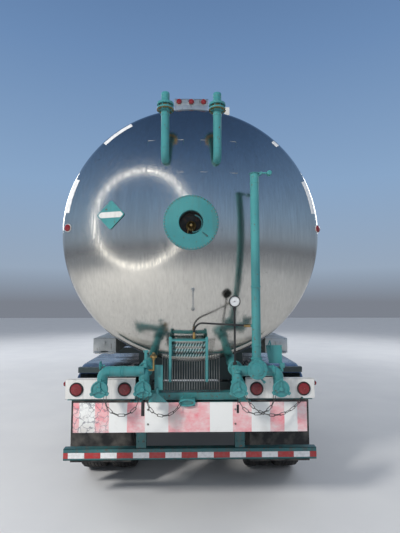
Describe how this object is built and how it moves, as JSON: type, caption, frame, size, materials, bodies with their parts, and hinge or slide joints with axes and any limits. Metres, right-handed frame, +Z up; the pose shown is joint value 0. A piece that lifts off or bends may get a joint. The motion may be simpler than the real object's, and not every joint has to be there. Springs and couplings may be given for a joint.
{
  "type": "tank semi-trailer",
  "caption": "Parked tank semi-trailer for liquefied gas with twin wheels on two axles, pipework and vent stack at the rear, landing gear and kingpin.",
  "frame": {"origin": "on the ground, midway along the length and the width", "axes": "+Y forward along the tank, +X to the right seen from behind, +Z up"},
  "size_m": [2.44, 10.5, 3.856],
  "materials": {
    "jacket_steel": "spun and polished stainless jacket, dull with age",
    "teal_paint": "worn teal enamel with rust at the edges",
    "dull_brass": "dull brass",
    "flap_rubber": "dusty black rubber",
    "white_paint": "dirty white enamel",
    "red_lens": "red moulded lens",
    "board_paint": "white board with faded pink bands",
    "polished_sheet": "polished sheet",
    "aluminium_sheet": "mill finish sheet",
    "chain_steel": "dull plated chain",
    "bracket_aluminium": "satin",
    "gauge_black": "black case",
    "line_rubber": "black sleeved line",
    "cage_steel": "dull bars",
    "fin_aluminium": "weathered fins",
    "dark_paint": "dark chassis paint with road dirt",
    "tyre": "worn, dusty",
    "wheel_aluminium": "dull forged wheel"
  },
  "bodies": {
    "root": {"air_tanks": "dark_paint", "axle_front": "dark_paint", "axle_rear": "dark_paint", "bumper_board": "board_paint", "cap_chains": "chain_steel", "coil_cage": "cage_steel", "coupler_plate": "dark_paint", "fenders": "polished_sheet", "finned_coil": "fin_aluminium", "front_connection_box": "dark_paint", "front_frame": "teal_paint", "gauge": "gauge_black", "hose_trays": "aluminium_sheet", "landing_gear_frame": "teal_paint", "landing_gear_shaft": "dark_paint", "landing_legs": "dark_paint", "light_bars": "white_paint", "manway_core": "dull_brass", "manway_ring": "teal_paint", "mud_flaps": "flap_rubber", "outlet_caps": "teal_paint", "piping_left": "teal_paint", "piping_right": "teal_paint", "rear_frame": "teal_paint", "sensing_line": "line_rubber", "suspension": "dark_paint", "tail_lamps": "red_lens", "tank_barrel": "jacket_steel", "tank_head_front": "jacket_steel", "tank_head_rear": "jacket_steel", "top_lamp_bracket": "bracket_aluminium", "top_relief_pipes": "teal_paint", "underride_guard": "teal_paint", "vent_stack": "teal_paint"},
    "wheels_front_left": {"hub_and_rims_front_left": "wheel_aluminium", "tyres_front_left": "tyre"},
    "wheels_front_right": {"hub_and_rims_front_right": "wheel_aluminium", "tyres_front_right": "tyre"},
    "wheels_rear_left": {"hub_and_rims_rear_left": "wheel_aluminium", "tyres_rear_left": "tyre"},
    "wheels_rear_right": {"hub_and_rims_rear_right": "wheel_aluminium", "tyres_rear_right": "tyre"},
    "tray_door_left": {"tray_door_left": "aluminium_sheet"},
    "tray_door_right": {"tray_door_right": "aluminium_sheet"},
    "vent_flap": {"vent_flap": "teal_paint"}
  },
  "joints": [
    {"name": "wheel_spin_rear_left", "type": "hinge", "parent": "root", "child": "wheels_rear_left", "pos_m": [-0.908, -3.5, 0.525], "axis": [1, 0, 0], "continuous": true},
    {"name": "wheel_spin_rear_right", "type": "hinge", "parent": "root", "child": "wheels_rear_right", "pos_m": [0.908, -3.5, 0.525], "axis": [1, 0, 0], "continuous": true},
    {"name": "wheel_spin_front_left", "type": "hinge", "parent": "root", "child": "wheels_front_left", "pos_m": [-0.908, -2.255, 0.525], "axis": [1, 0, 0], "continuous": true},
    {"name": "wheel_spin_front_right", "type": "hinge", "parent": "root", "child": "wheels_front_right", "pos_m": [0.908, -2.255, 0.525], "axis": [1, 0, 0], "continuous": true},
    {"name": "vent_flap_hinge", "type": "hinge", "parent": "root", "child": "vent_flap", "pos_m": [0.5815, -5.17, 2.967], "axis": [0, 1, 0], "range_deg": [0, 75]},
    {"name": "tray_door_hinge_left", "type": "hinge", "parent": "root", "child": "tray_door_left", "pos_m": [-0.845, -4.429, 1.40026], "axis": [1, 0, 0], "range_deg": [0, 95]},
    {"name": "tray_door_hinge_right", "type": "hinge", "parent": "root", "child": "tray_door_right", "pos_m": [0.845, -4.429, 1.40026], "axis": [1, 0, 0], "range_deg": [0, 95]}
  ]
}
